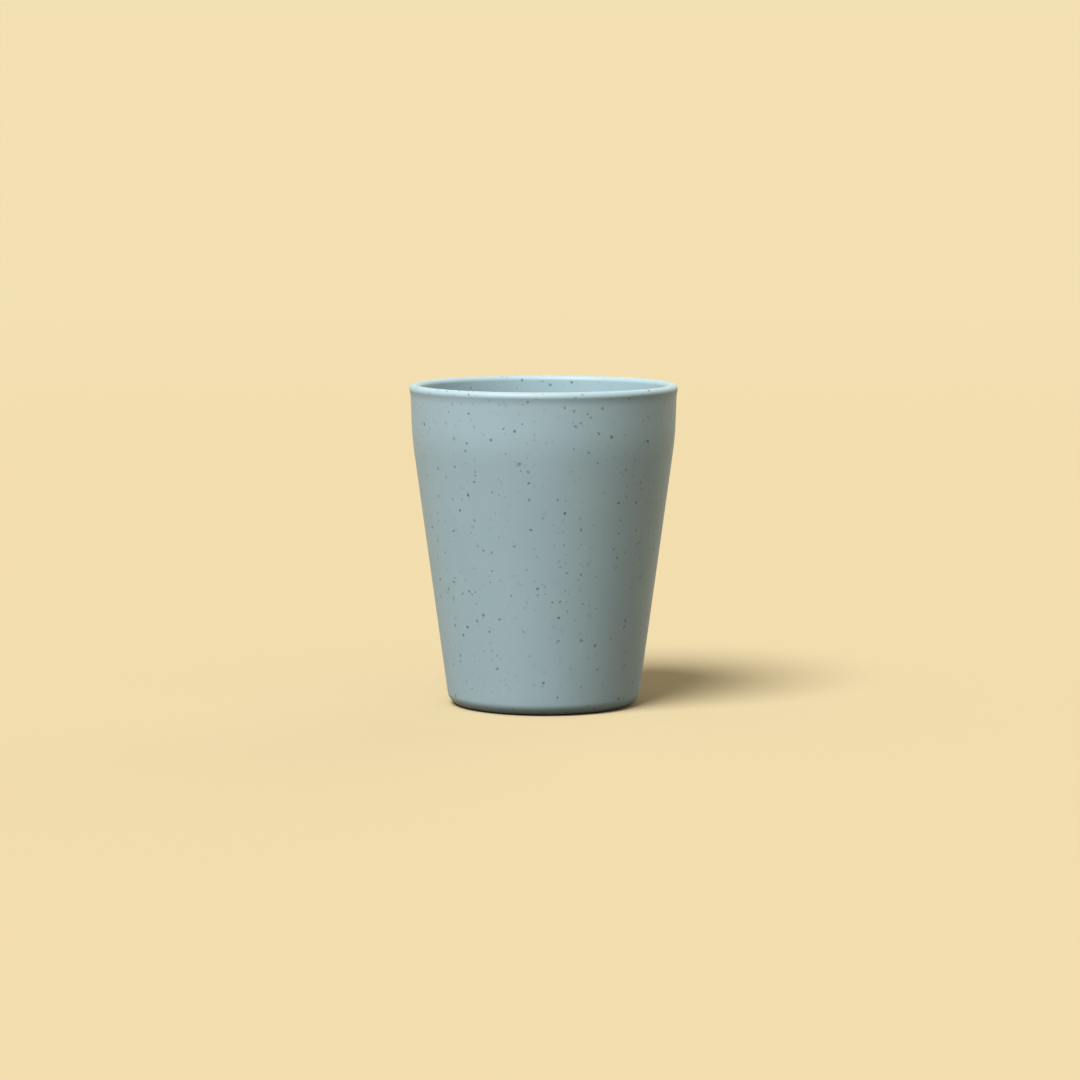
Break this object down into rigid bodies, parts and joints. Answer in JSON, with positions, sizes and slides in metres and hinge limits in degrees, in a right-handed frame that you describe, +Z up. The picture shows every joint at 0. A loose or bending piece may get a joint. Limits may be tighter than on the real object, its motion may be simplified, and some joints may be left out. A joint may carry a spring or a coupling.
{
  "type": "drinking cup",
  "caption": "Round tapered drinking cup, moulded in one piece from speckled straw-filled plastic, with a steep band under a full-round lip and a ring foot around a shallow recess.",
  "frame": {"origin": "centre of the base, on the plane that the cup stands on", "axes": "+Z up along the cup's axis, towards its mouth; the cup is round, so X and Y are any two directions across it"},
  "size_m": [0.08, 0.08, 0.096],
  "materials": {
    "straw_plastic": "satin"
  },
  "bodies": {
    "root": {"cup": "straw_plastic"}
  },
  "joints": []
}
